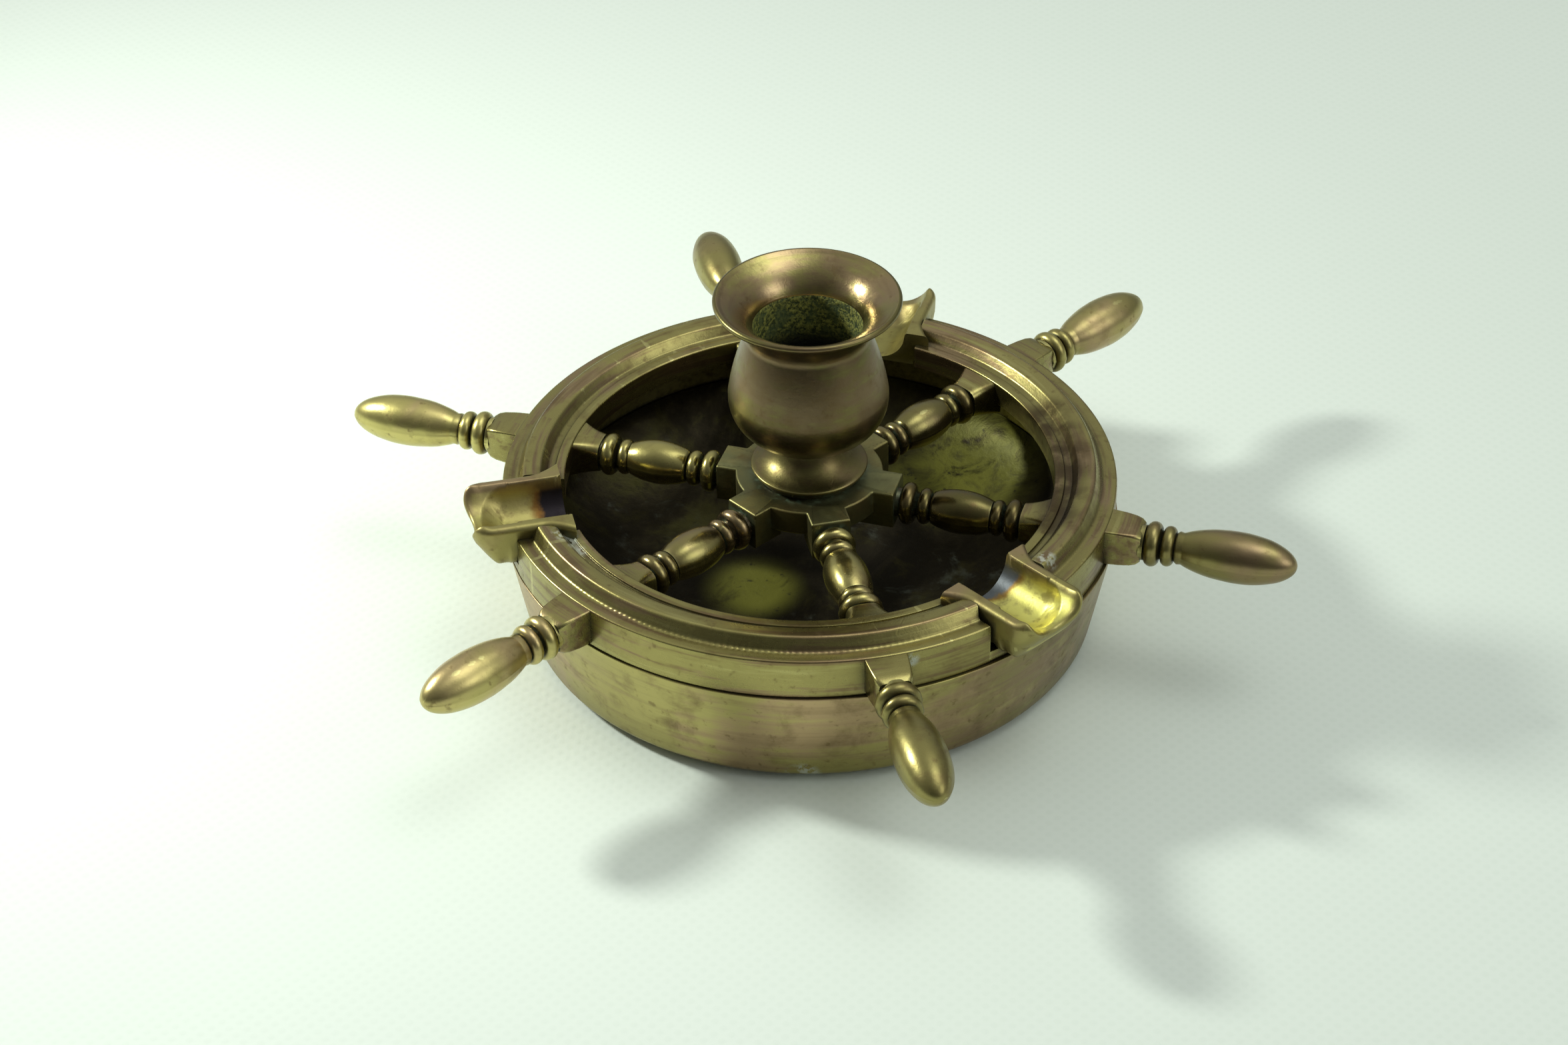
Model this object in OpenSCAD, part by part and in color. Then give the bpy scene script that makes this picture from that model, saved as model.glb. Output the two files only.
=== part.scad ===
// Ship's-wheel ashtray: a turned bowl, a spoked wheel that lifts off and turns on it,
// three smoking rests let into the wheel's rim, and an urn-shaped cup on the hub.
// Origin: centre of the underside, on the surface it stands on. +Z is up, spoke 1 points along +X.

/* [Wheel] */
// Radius over the tips of the handles
tip_r = 92; // [88:0.5:96]
// Height of the spokes' axis above the table
axis_z = 26.8; // [26:0.1:32]
// Number of spokes and handles, which is twice the number of rests
spoke_count = 6; // [6:2:6]
// Radius of the largest bead on a spoke
spoke_bead_r = 4.0; // [3.6:0.1:4.4]
// Largest radius of a spoke's vase-shaped middle
vase_r = 4.15; // [3.6:0.05:4.5]
// Largest radius of a handle's grip
grip_r = 4.75; // [4.2:0.05:5.4]
// Half the width and height of the square blocks on the spokes' line
block_half = 3.6; // [3.4:0.1:3.9]

/* [Rim] */
// Radius of the rim's outer wall
rim_r = 57.3; // [56.8:0.1:58]
// Radius of the rim's inner edge
rim_inner_r = 45.7; // [45:0.1:47]
// Height of the flat outer band above the spokes' axis
band_h = 3.85; // [3.6:0.05:4.2]
// Height of the rim's crest above the spokes' axis
crest_h = 6.3; // [6:0.1:6.6]

/* [Rests] */
// Half the width of a rest over its two lips
rest_half = 8.2; // [7.8:0.1:8.6]
// Radius of the channel that holds a cigarette
channel_r = 5.6; // [5:0.1:5.8]
// Radius from the wheel's centre to a rest's outer end
rest_end_r = 64.6; // [63.5:0.1:66]

/* [Hub and cup] */
// Radius of the hub plate between its blocks
hub_r = 13.8; // [13:0.1:15]
// Radius of the cup's lip
lip_r = 17.2; // [16:0.1:18]
// Height of the cup's lip above the spokes' axis
lip_h = 42.2; // [41:0.1:44]
// Radius of the straight bore inside the cup
cup_bore_r = 10.5; // [9.5:0.1:10.6]
// Radius of the foot's flange
flange_r = 10.9; // [10:0.1:12]

/* [Bowl] */
// Outer radius of the bowl at its lip
bowl_r = 57.5; // [57:0.1:58.5]
// Outer radius of the bowl where its wall rounds under
bowl_low_r = 53.6; // [52:0.1:55]
// Radius of the bowl's inside below the seat
bowl_inner_r = 51.1; // [50:0.1:51.4]
// Thickness of the bowl's floor
floor_t = 8.4; // [6:0.1:10]

/* [Fits] */
// Radial clearance of the seat ring in the bowl
seat_clear = 0.05; // [0.02:0.01:0.1]
// Gap between the rim's skirt and the seat ring that it slides over
lift_gap = 0.3; // [0.2:0.05:0.4]

/* [Hidden] */
$fn = 96;
step_a = 360 / spoke_count;
rest_a = 2 * step_a;
rest_count = spoke_count / 2;

// Stations along a spoke, measured from the wheel's centre
hub_face = 17.2;
block_start = 9;
inner_face = 41;
outer_face = 63.6;
core_r = 2.9;
bead_w = 1.4;
small_bead_w = 1.2;
small_bead_r = 3.4;
spoke_mid = 29.6;
vase_half = 5.6;
vase_len = 8.1;
bead_stations = [19.3, 39.3];
small_bead_stations = [22.5, 36.3];

// Stations along a handle
bead_1 = 65.5;
bead_1_r = 4.2;
bead_2 = 68.4;
bead_2_r = 3.75;
grip_start = 71;
grip_mid = 81;
grip_back = 12.7;
handle_core_r = 3.1;

// Rim: the plate carries the mouldings, and a skirt hangs from its outer edge
band_in_r = 54.9;
step_r = 53.4;
crest_r = 51.9;
slope_r = 50.3;
groove_r = 47.7;
groove_h = 3.8;
inner_band_h = 4.15;
plate_low = -0.5;
skirt_low = -4;
edge = 0.35;
block_flare = 0.5;
notch_gap = 0.2;

// Seat: a rebate inside the bowl's mouth, and the ring that lies in it
lip_low = skirt_low - 0.2;
seat_r = 54;
skirt_in_r = seat_r + lift_gap;
seat_low = -8;
seat_top = plate_low - 0.05;
ring_in_r = 51.3;

// Rest
rest_in_r = 46;
rest_top = 6.5;
channel_z = 6.1;
lobe_low = -3.9;
dip_z = 2;
dip_r = 6.6;
lip_round = 1.3;

// Hub, screw and cup
plate_bottom = -1.1;
hub_top = 4;
screw_r = 2.5;
screw_gap = 0.1;
washer_r = 5.2;
washer_t = 0.9;
head_r = 4.4;
head_t = 2.6;
foot_top = 11.6;
neck_r = 5.4;
bore_floor = 17.2;
throat_h = 36.4;
screw_top = 15.6;

// Points of an arc in a section, from angle a to angle b
function arc(centre, r, a, b, n) =
    [for (i = [0:n]) centre + r * [cos(a + (b - a) * i / n), sin(a + (b - a) * i / n)]];

// Points of a half-ellipse-like swelling along an axis, as [radius, station]
function swelling(mid, r, reach, from, to, n) =
    [for (i = [0:n]) let (s = from + (to - from) * i / n)
        [r * sqrt(max(0, 1 - pow((s - mid) / reach, 2))), s]];

// Points of a smooth curve through three handles, for the cup's flanks
function bend(a, b, c, n) =
    [for (i = [0:n]) let (t = i / n) (1 - t) * (1 - t) * a + 2 * t * (1 - t) * b + t * t * c];

// A child drawn along +Z is laid along +X at the height of the spokes' axis
module along_spoke(i) {
    translate([0, 0, axis_z])
        rotate([0, 0, (i - 1) * step_a])
            rotate([0, 90, 0])
                children();
}

// A turned bead on a spoke's line
module bead(station, r, half_w) {
    translate([0, 0, station])
        rotate_extrude()
            translate([r - half_w, 0])
                circle(r = half_w, $fn = 48);
}

// Square block on a spoke's line, a little wider where it meets the rim
module block(from, to, wide_at_from) {
    near = block_half + (wide_at_from ? block_flare : 0);
    far = block_half + (wide_at_from ? 0 : block_flare);
    translate([0, 0, axis_z - block_half])
        linear_extrude(2 * block_half)
            polygon([[from, -near], [to, -far], [to, far], [from, near]]);
}

module bowl() {
    wall_r = 3;
    dish_r = 24;
    dish_h = axis_z + seat_low - floor_t;
    lip_edge = 0.4;
    color("darkkhaki")
        rotate_extrude($fn = 180)
            polygon(concat(
                [[0, 0]],
                arc([bowl_low_r - wall_r, wall_r], wall_r, 270, 350, 10),
                [[bowl_r, axis_z + lip_low - lip_edge], [bowl_r - lip_edge, axis_z + lip_low],
                 [seat_r, axis_z + lip_low], [seat_r, axis_z + seat_low], [bowl_inner_r, axis_z + seat_low]],
                [for (p = arc([0, 0], 1, 0, -90, 24))
                    [bowl_inner_r + dish_r * (p[0] - 1), floor_t + dish_h * (p[1] + 1)]],
                [[0, floor_t]]));
}

module seat_ring() {
    color("peru")
        translate([0, 0, axis_z])
            rotate_extrude($fn = 180)
                polygon([[ring_in_r, seat_low + seat_clear], [seat_r - seat_clear, seat_low + seat_clear],
                         [seat_r - seat_clear, seat_top], [ring_in_r, seat_top]]);
}

// Section of the rim: flat outer band, hollow, raised crest, groove and flat inner band
module rim_section() {
    step_h = (band_h + crest_h) / 2;
    slope_h = crest_h - edge;
    polygon(concat(
        [[skirt_in_r, skirt_low], [rim_r, skirt_low], [rim_r, band_h - edge], [rim_r - edge, band_h]],
        bend([band_in_r, band_h], [step_r + edge, band_h], [step_r, step_h], 6),
        bend([step_r - 0.05, step_h + edge], [step_r - edge, crest_h], [crest_r, crest_h], 6),
        bend([slope_r, slope_h], [slope_r - 1, slope_h - edge], [groove_r + 1, groove_h + edge], 6),
        [[groove_r, groove_h], [groove_r, inner_band_h - 0.1], [groove_r - 0.1, inner_band_h],
         [rim_inner_r + edge, inner_band_h], [rim_inner_r, inner_band_h - edge],
         [rim_inner_r, plate_low], [skirt_in_r, plate_low]]));
}

module wheel_rim() {
    notch_len = rim_r - rim_inner_r + 4;
    color("olive")
        difference() {
            union() {
                translate([0, 0, axis_z])
                    rotate_extrude($fn = 180)
                        rim_section();
                for (i = [1:spoke_count]) {
                    rotate([0, 0, (i - 1) * step_a]) {
                        block(rim_r - 1, outer_face, true);
                        block(inner_face, rim_inner_r + 1, false);
                    }
                }
            }
            for (i = [1:rest_count])
                rotate([0, 0, (i - 1) * rest_a - step_a / 2])
                    translate([rim_inner_r - 2, -rest_half - notch_gap, axis_z + plate_low])
                        cube([notch_len, 2 * (rest_half + notch_gap), crest_h + 2]);
        }
}

module hub_plate() {
    color("darkolivegreen")
        translate([0, 0, axis_z])
            difference() {
                union() {
                    translate([0, 0, plate_bottom])
                        cylinder(r = hub_r, h = hub_top - plate_bottom);
                    for (i = [1:spoke_count])
                        rotate([0, 0, (i - 1) * step_a])
                            translate([block_start, -block_half, -block_half])
                                cube([hub_face - block_start, 2 * block_half, hub_top + block_half]);
                }
                translate([0, 0, -block_half])
                    cylinder(r = screw_r + screw_gap, h = hub_top + 2 * block_half);
            }
}

module spoke(i) {
    color("goldenrod")
        along_spoke(i)
            union() {
                translate([0, 0, hub_face])
                    cylinder(r = core_r, h = inner_face - hub_face);
                rotate_extrude()
                    polygon(concat(
                        [[0, spoke_mid - vase_half]],
                        swelling(spoke_mid, vase_r, vase_len,
                                 spoke_mid - vase_half, spoke_mid + vase_half, 20),
                        [[0, spoke_mid + vase_half]]));
                for (station = bead_stations)
                    bead(station, spoke_bead_r, bead_w);
                for (station = small_bead_stations)
                    bead(station, small_bead_r, small_bead_w);
            }
}

module handle(i) {
    color("darkgoldenrod")
        along_spoke(i)
            union() {
                translate([0, 0, outer_face])
                    cylinder(r = handle_core_r, h = grip_start - outer_face + 0.5);
                bead(bead_1, bead_1_r, bead_w);
                bead(bead_2, bead_2_r, small_bead_w);
                rotate_extrude()
                    polygon(concat(
                        [[0, grip_start]],
                        swelling(grip_mid, grip_r, grip_back, grip_start, grip_mid, 16),
                        [for (p = arc([0, 0], 1, 6, 90, 14))
                            [grip_r * p[0], grip_mid + (tip_r - grip_mid) * p[1]]]));
            }
}

// Outline of a rest's end seen from the front: straight sides and a round underside
module rest_outline() {
    under = arc([0, lobe_low + rest_half], rest_half, 180, 360, 24);
    lip = arc([rest_half - lip_round, rest_top - lip_round], lip_round, 0, 90, 6);
    polygon(concat(under, lip, [for (i = [len(lip) - 1:-1:0]) [-lip[i][0], lip[i][1]]]));
}

module rest(i) {
    end_corner = 4.5;
    end_centre = rest_end_r - channel_r - 0.3;
    color("yellowgreen")
        translate([0, 0, axis_z])
            rotate([0, 0, (i - 1) * rest_a - step_a / 2])
                difference() {
                    intersection() {
                        rotate([90, 0, 90])
                            linear_extrude(rest_end_r)
                                rest_outline();
                        translate([0, 0, lobe_low])
                            linear_extrude(rest_top - lobe_low)
                                union() {
                                    translate([rest_in_r, -rest_half])
                                        square([rest_end_r - end_corner - rest_in_r, 2 * rest_half]);
                                    translate([rest_in_r, -rest_half + end_corner])
                                        square([rest_end_r - rest_in_r, 2 * (rest_half - end_corner)]);
                                    for (side = [-1, 1])
                                        translate([rest_end_r - end_corner, side * (rest_half - end_corner)])
                                            circle(r = end_corner);
                                }
                    }
                    // the part that crosses the rim ends level with the rim's plate
                    translate([0, 0, lobe_low - 1])
                        cylinder(r = rim_r, h = plate_low - lobe_low + 1, $fn = 180);
                    // channel, with a round outer end
                    translate([rest_in_r - 1, 0, channel_z])
                        rotate([0, 90, 0])
                            cylinder(r = channel_r, h = end_centre - rest_in_r + 1);
                    translate([end_centre, 0, channel_z])
                        sphere(r = channel_r);
                    // the outer lip dips between the two side lips
                    translate([rest_in_r - 1, 0, dip_z + dip_r])
                        rotate([0, 90, 0])
                            cylinder(r = dip_r, h = rest_end_r);
                }
}

module cup_foot() {
    base_r = 9.7;
    edge_h = 5.9;
    edge_r = 0.45;
    color("khaki")
        translate([0, 0, axis_z])
            rotate_extrude()
                difference() {
                    polygon(concat(
                        [[0, hub_top], [base_r, hub_top]],
                        arc([flange_r - edge_r, edge_h], edge_r, -50, 60, 6),
                        bend([flange_r - edge_r, edge_h + 0.6], [neck_r + 1.2, edge_h + 1.4],
                             [neck_r, foot_top - 0.8], 12),
                        [[neck_r, foot_top], [0, foot_top]]));
                    square([screw_r + screw_gap, foot_top + 1]);
                }
}

module cup() {
    belly_r = 14.8;
    belly_h = 22.5;
    waist_r = 11.5;
    waist_h = 35.2;
    lip_t = 0.6;
    color("tan")
        translate([0, 0, axis_z])
            rotate_extrude($fn = 144)
                polygon(concat(
                    [[screw_r, foot_top], [neck_r, foot_top]],
                    bend([neck_r + 0.4, foot_top + 0.3], [belly_r - 0.6, foot_top + 2.6],
                         [belly_r, belly_h - 2], 14),
                    bend([belly_r, belly_h], [belly_r - 0.9, waist_h - 7], [waist_r, waist_h - 1], 12),
                    bend([waist_r, waist_h], [waist_r + 0.6, lip_h - 2.6],
                         [lip_r - lip_t, lip_h - 2 * lip_t], 12),
                    arc([lip_r - lip_t, lip_h - lip_t], lip_t, -60, 110, 8),
                    bend([lip_r - 2 * lip_t, lip_h - lip_t], [cup_bore_r + 1.2, throat_h + 2.6],
                         [cup_bore_r, throat_h], 10),
                    [[cup_bore_r, bore_floor], [0, bore_floor], [0, screw_top], [screw_r, screw_top]]));
}

module clamp_screw() {
    slot_w = 1;
    slot_d = 1.1;
    under = plate_bottom - washer_t;
    color("silver")
        translate([0, 0, axis_z])
            difference() {
                rotate_extrude()
                    polygon([[0, under - head_t], [head_r - 1, under - head_t], [head_r, under - head_t + 1],
                             [head_r, under], [screw_r, under], [screw_r, screw_top - 0.5],
                             [screw_r - 0.5, screw_top - 0.05], [0, screw_top - 0.05]]);
                translate([-head_r - 1, -slot_w / 2, under - head_t - 1])
                    cube([2 * head_r + 2, slot_w, slot_d + 1]);
            }
}

module screw_washer() {
    color("gray")
        translate([0, 0, axis_z + plate_bottom - washer_t])
            difference() {
                cylinder(r = washer_r, h = washer_t);
                translate([0, 0, -1])
                    cylinder(r = screw_r + screw_gap, h = washer_t + 2);
            }
}

bowl();
seat_ring();
wheel_rim();
hub_plate();
for (i = [1:spoke_count]) {
    spoke(i);
    handle(i);
}
for (i = [1:rest_count])
    rest(i);
cup_foot();
cup();
clamp_screw();
screw_washer();
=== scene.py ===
import math

import bmesh
import bpy
from mathutils import Matrix, Vector, noise


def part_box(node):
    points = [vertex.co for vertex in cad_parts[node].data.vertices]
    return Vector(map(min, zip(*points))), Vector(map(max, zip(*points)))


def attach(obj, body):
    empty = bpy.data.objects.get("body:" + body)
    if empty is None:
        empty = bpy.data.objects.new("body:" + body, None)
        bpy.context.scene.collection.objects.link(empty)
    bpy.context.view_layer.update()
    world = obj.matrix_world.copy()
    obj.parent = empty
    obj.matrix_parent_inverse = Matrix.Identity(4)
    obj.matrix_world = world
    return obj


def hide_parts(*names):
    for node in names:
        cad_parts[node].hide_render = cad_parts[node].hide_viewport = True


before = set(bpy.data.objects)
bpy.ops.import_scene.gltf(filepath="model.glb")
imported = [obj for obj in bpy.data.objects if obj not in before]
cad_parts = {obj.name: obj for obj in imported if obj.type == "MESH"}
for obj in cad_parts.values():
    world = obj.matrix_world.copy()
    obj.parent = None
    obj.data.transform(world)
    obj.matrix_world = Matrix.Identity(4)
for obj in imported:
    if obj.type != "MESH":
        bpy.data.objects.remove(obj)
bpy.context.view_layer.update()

MM = 0.001
STEP_A = 60
SPOKES = range(1, 7)
RESTS = range(1, 4)

# Driving places, read from the frame, in millimetres
axis_z = (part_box("spoke_1")[0][2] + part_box("spoke_1")[1][2]) / 2 / MM
tip_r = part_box("handle_1")[1][0] / MM
lip_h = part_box("cup")[1][2] / MM - axis_z
cup_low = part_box("cup")[0][2] / MM - axis_z
lip_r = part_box("cup")[1][0] / MM
foot_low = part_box("cup_foot")[0][2] / MM - axis_z
flange_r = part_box("cup_foot")[1][0] / MM
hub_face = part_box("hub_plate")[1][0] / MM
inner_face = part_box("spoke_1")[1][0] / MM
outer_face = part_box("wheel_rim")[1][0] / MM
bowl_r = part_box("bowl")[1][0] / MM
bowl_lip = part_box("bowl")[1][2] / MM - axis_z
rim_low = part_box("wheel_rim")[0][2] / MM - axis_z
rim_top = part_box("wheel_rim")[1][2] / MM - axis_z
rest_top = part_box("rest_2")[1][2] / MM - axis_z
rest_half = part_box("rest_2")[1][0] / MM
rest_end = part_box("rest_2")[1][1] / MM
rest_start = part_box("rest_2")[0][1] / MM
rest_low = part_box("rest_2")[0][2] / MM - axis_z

# How far the ends of a spoke or a handle are sunk into the castings that hold them, in millimetres
SUNK = 0.4

# Rim, in millimetres from the wheel's centre and from the spokes' axis
RIM_R = 57.3
RIM_IN_R = 45.7
SKIRT_IN_R = 54.3
PLATE_LOW = -0.5
BAND_H = 3.85
NOTCH_LOW = -1.8
NOTCH_HALF = rest_half + 0.05

# The first rest was fixed a little off its place, so its notch shows a gap on one side
REST_SLIP = 0.9
GAP_OUTSIDE = 0.6
NOTCH_SIDES = [
    (NOTCH_HALF + REST_SLIP, NOTCH_HALF - REST_SLIP + 0.1),
    (NOTCH_HALF, NOTCH_HALF),
    (NOTCH_HALF, NOTCH_HALF),
]
# Columns of faces in each of the rim's three arcs: most where the chatter is
ARC_COLUMNS = [180, 260, 620]

# A rest: where its lean and its outer lip's dip start, its lips and its channel
REST_FOOT = 56
LIP_ROUND = 1.15
CHANNEL_R = 5.9
CHANNEL_H = 6.0
DIP_LOW = 2.5
DIP_R = 6.9

# The turning tool's chatter beside the rim's crest: radii, where across them its two rows meet, the angle
# in degrees where it is strongest, and each row's depth in millimetres and pitch in degrees
CHATTER_IN = 53.8
CHATTER_OUT = 55.15
CHATTER_SPLIT = 0.45
CHATTER_MIDDLE = 266
CHATTER_ROWS = [(0.0066, 0.62), (0.055, 1.15)]


# ---------------------------------------------------------------- outlines

def arc(x, y, radius, start, end, steps):
    """Points on an arc round (x, y), angles in degrees."""
    turns = [math.radians(start + (end - start) * i / steps) for i in range(steps + 1)]
    return [(x + radius * math.cos(t), y + radius * math.sin(t)) for t in turns]


def bend(a, b, c, steps):
    """Points on the smooth curve from a to c that leans towards b."""
    points = []
    for i in range(steps + 1):
        t = i / steps
        u = 1 - t
        points.append(tuple(u * u * p + 2 * t * u * q + t * t * r for p, q, r in zip(a, b, c)))
    return points


def rounded(corners, steps=5, closed=False):
    """An outline through corners (x, y, radius), each rounded to about its radius."""
    points = []
    count = len(corners)
    for i, (x, y, radius) in enumerate(corners):
        if radius == 0 or (not closed and i in (0, count - 1)):
            points.append((x, y))
            continue
        here = Vector((x, y))
        before = Vector(corners[i - 1][:2]) - here
        after = Vector(corners[(i + 1) % count][:2]) - here
        half = before.angle(after) / 2
        reach = min(radius / math.tan(half), before.length * 0.49, after.length * 0.49)
        a = here + before.normalized() * reach
        c = here + after.normalized() * reach
        points += bend(tuple(a), (x, y), tuple(c), steps)
    return points


def refined(points, longest):
    """The same outline with its long stretches split."""
    out = []
    for a, b in zip(points, points[1:]):
        pieces = max(1, math.ceil(math.dist(a, b) / longest))
        out += [tuple(p + (q - p) * i / pieces for p, q in zip(a, b)) for i in range(pieces)]
    return out + [points[-1]]


# ------------------------------------------------------------------ meshes

def direction(azimuth, elevation):
    """A unit vector at an angle round Z from +X and an angle above the floor, in degrees."""
    a = math.radians(azimuth)
    e = math.radians(elevation)
    return Vector((math.cos(a) * math.cos(e), math.sin(a) * math.cos(e), math.sin(e)))


def as_object(name, bm, sharp=35):
    """A smooth object from a bmesh in millimetres, hard-edged where faces meet at over sharp degrees."""
    bmesh.ops.remove_doubles(bm, verts=bm.verts, dist=0.002)
    bmesh.ops.recalc_face_normals(bm, faces=bm.faces)
    limit = math.radians(sharp)
    for edge in bm.edges:
        edge.smooth = len(edge.link_faces) == 2 and edge.calc_face_angle(0) < limit
    for face in bm.faces:
        face.smooth = True
    bmesh.ops.scale(bm, vec=(MM, MM, MM), verts=bm.verts)
    mesh = bpy.data.meshes.new(name)
    bm.to_mesh(mesh)
    bm.free()
    piece = bpy.data.objects.new(name, mesh)
    bpy.context.scene.collection.objects.link(piece)
    return piece


def skin(bm, rings, around, caps=False):
    """Quads between rings of points. around closes each ring on itself, and caps closes both ends."""
    verts = [[bm.verts.new(p) for p in ring] for ring in rings]
    count = len(rings[0])
    last = count if around else count - 1
    for low, high in zip(verts, verts[1:]):
        for j in range(last):
            k = (j + 1) % count
            bm.faces.new((low[j], low[k], high[k], high[j]))
    if caps:
        for ring in (verts[0], verts[-1]):
            middle = sum((v.co for v in ring), Vector()) / count
            centre = bm.verts.new(middle)
            for j in range(count):
                bm.faces.new((ring[j], ring[(j + 1) % count], centre))


def turned(name, profile, segments, shape=None):
    """A solid of revolution about Z. profile holds (radius, height) and shape may move a point."""
    bm = bmesh.new()
    rings = []
    for i in range(segments + 1):
        angle = 2 * math.pi * (i % segments) / segments
        ring = [(r * math.cos(angle), r * math.sin(angle), height + axis_z) for r, height in profile]
        rings.append([shape(*point) for point in ring] if shape else ring)
    skin(bm, rings, around=False)
    return as_object(name, bm)


def along_spoke(index):
    """The matrix that turns a piece made along +Z into its place on a spoke."""
    turn = Matrix.Rotation(math.radians((index - 1) * STEP_A), 4, "Z")
    return Matrix.Translation((0, 0, axis_z)) @ turn @ Matrix.Rotation(math.radians(90), 4, "Y")


def mould_line(angle):
    """How far the fine line left by the mould stands out, at an angle round a spoke."""
    height = 0.09
    width = 5
    off = min(abs(math.degrees(angle) - side) for side in (90, 270))
    return height * math.exp(-((off / width) ** 2))


def turned_on_spoke(name, index, profile):
    """A round member on a spoke's line, a little uneven, with the mould's line along both sides."""
    segments = 120
    wobble = 0.05
    bm = bmesh.new()
    rings = []
    to_spoke = along_spoke(index)
    for i in range(segments + 1):
        angle = 2 * math.pi * (i % segments) / segments
        ring = []
        for radius, station in profile:
            spot = Vector((radius * math.cos(angle), radius * math.sin(angle), station + 9 * index))
            r = radius
            if radius > 0.5:
                r += wobble * noise.noise(spot * 0.35) + mould_line(angle)
            ring.append(to_spoke @ Vector((r * math.cos(angle), r * math.sin(angle), station)))
        rings.append(ring)
    skin(bm, rings, around=False)
    return as_object(name, bm, 50)


def box_ring(station, half_w, low, high, corner):
    """A rounded rectangle across a spoke's line, as (x, y, z) with x along the spoke."""
    sides = [(half_w, low), (half_w, high), (-half_w, high), (-half_w, low)]
    outline = rounded([(y, z, corner) for y, z in sides], closed=True)
    return [(station, y, z) for y, z in outline]


def lofted_block(bm, index, sections):
    """A block along a spoke through sections (station, half width, low, high, corner radius)."""
    turn = Matrix.Rotation(math.radians((index - 1) * STEP_A), 4, "Z")
    rings = []
    for station, half_w, low, high, corner in sections:
        ring = box_ring(station, half_w, low, high, corner)
        rings.append([turn @ Vector((x, y, z + axis_z)) for x, y, z in ring])
    skin(bm, rings, around=True, caps=True)


# ------------------------------------------------------------------- pieces

def bead(station, radius, half_w):
    """A turned bead as (radius, station) points."""
    return [(y, x) for x, y in arc(station, radius - half_w, half_w, 180, 0, 14)]


def swelling(middle, radius, reach, start, end, steps):
    """A vase-like swelling as (radius, station) points."""
    points = []
    for i in range(steps + 1):
        s = start + (end - start) * i / steps
        points.append((radius * math.sqrt(max(0, 1 - ((s - middle) / reach) ** 2)), s))
    return points


def spoke_profile():
    """A spoke from the hub out as (radius, station) points: two beads, a vase and two beads."""
    core = 2.9
    points = [(0, hub_face - SUNK), (core, hub_face - SUNK)]
    points += bead(19.3, 4.0, 1.4)
    points += bead(22.5, 3.4, 1.2)
    points += swelling(29.6, 4.15, 8.1, 24.0, 35.2, 28)
    points += bead(36.3, 3.4, 1.2)
    points += bead(39.3, 4.05, 1.4)
    points += [(core, inner_face + SUNK), (0, inner_face + SUNK)]
    return points


def handle_profile():
    """A handle from the rim out as (radius, station) points: two beads and a grip with a round end."""
    collar = 3.3
    neck = 3.05
    grip_r = 4.75
    grip_mid = 81
    points = [(0, outer_face - SUNK), (collar, outer_face - SUNK), (collar, outer_face + 0.4)]
    points += bead(65.5, 4.2, 1.4)
    points += bead(68.4, 3.75, 1.2)
    points += [(neck, 70.2)]
    points += swelling(grip_mid, grip_r, 12.7, 71.0, grip_mid, 26)
    points += [(grip_r * x, grip_mid + (tip_r - grip_mid) * y) for x, y in arc(0, 0, 1, 2, 90, 30)]
    return points


def in_chatter(radius, height):
    """Whether a point of the rim's section is in the hollow that shows the tool's chatter."""
    return CHATTER_IN < radius < CHATTER_OUT and height > BAND_H - 0.3


def rim_outline():
    """Section of the rim as (radius, height above the spokes' axis), with finer steps in the chatter."""
    corners = [
        (SKIRT_IN_R, rim_low, 0.15),
        (RIM_R, rim_low, 0.12),
        (RIM_R, BAND_H, 0.45),
        (54.6, BAND_H, 0.9),
        (53.2, rim_top, 0.75),
        (50.1, rim_top - 0.4, 0.8),
        (48.9, 4.0, 0.7),
        (47.7, 3.75, 0.12),
        (47.55, 4.15, 0.12),
        (RIM_IN_R, 4.15, 0.4),
        (RIM_IN_R, PLATE_LOW, 0.2),
        (SKIRT_IN_R, PLATE_LOW, 0.2),
    ]
    points = []
    for point in rounded(corners, 4, closed=True):
        if points and in_chatter(*point):
            points += refined([points[-1], point], 0.3)[1:]
        else:
            points.append(point)
    return points


def chatter(radius, height, angle):
    """Height of the turning tool's chatter at a point of the rim: two rows of radial ticks."""
    if not in_chatter(radius, height):
        return 0
    turn = math.degrees(angle) % 360
    strength = 0.04 + 0.96 * max(0, math.cos(math.radians((turn - CHATTER_MIDDLE) * 1.25))) ** 2
    patch = max(0, 0.75 + noise.noise(Vector((turn * 0.13, 3, 1))))
    across = (radius - CHATTER_IN) / (CHATTER_OUT - CHATTER_IN)
    outer = across > CHATTER_SPLIT
    depth, pitch = CHATTER_ROWS[int(outer)]
    share = (across - CHATTER_SPLIT) / (1 - CHATTER_SPLIT) if outer else across / CHATTER_SPLIT
    beat = turn / pitch + 0.25 * noise.noise(Vector((turn * 0.7, 9, 2)))
    tick = 1 - 2 * abs(beat % 1 - 0.5) / 0.5
    return depth * strength * patch * tick * math.sin(math.pi * share)


def rim_arc(bm, outline, start, end, halves, columns, end_gap):
    """Part of the ring between two rests at the angles start and end, cut parallel to each rest's own line.
    halves says how far from those lines, and end_gap sets the outer part of the end a little further."""
    rings = []
    for i in range(columns + 1):
        t = i / columns
        ring = []
        for radius, height in outline:
            spare = end_gap if radius > CHATTER_IN else 0
            a = math.radians(start) + math.asin(halves[0] / radius)
            b = math.radians(end) - math.asin((halves[1] + spare) / radius)
            angle = a + (b - a) * t
            z = height + chatter(radius, height, angle)
            ring.append((radius * math.cos(angle), radius * math.sin(angle), z + axis_z))
        rings.append(ring)
    skin(bm, rings, around=True, caps=True)


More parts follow.
